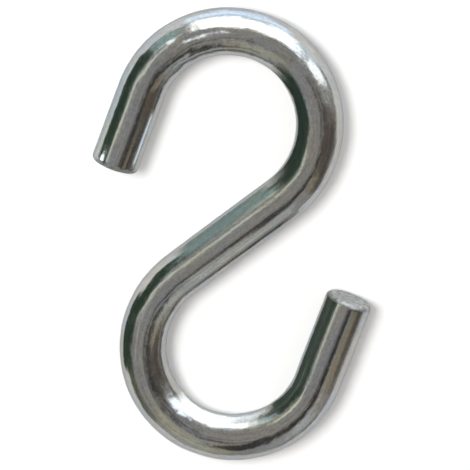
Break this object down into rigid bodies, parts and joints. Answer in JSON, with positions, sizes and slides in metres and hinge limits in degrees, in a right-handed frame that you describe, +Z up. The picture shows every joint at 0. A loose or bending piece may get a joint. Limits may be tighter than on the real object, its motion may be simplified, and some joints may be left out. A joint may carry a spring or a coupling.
{
  "type": "s hook",
  "caption": "Open S hook bent from one length of round zinc-plated steel wire, with two like bends and two free ends cut square.",
  "frame": {"origin": "on the plane that the hook lies on, under the middle of its bounding box", "axes": "+Y along the hook's length, towards the bend whose free end comes down on the left; +X across the hook, to the right when it is seen from above; +Z up, at right angles to the plane in which the wire is bent"},
  "size_m": [0.0452, 0.076, 0.0078],
  "materials": {
    "zinc_plate": "bright clear zinc plate over drawn steel wire, with fine drawing lines along the wire, streaky tool marks in the bends and a faint blue and yellow-green tint"
  },
  "bodies": {
    "root": {"hook": "zinc_plate"}
  },
  "joints": []
}
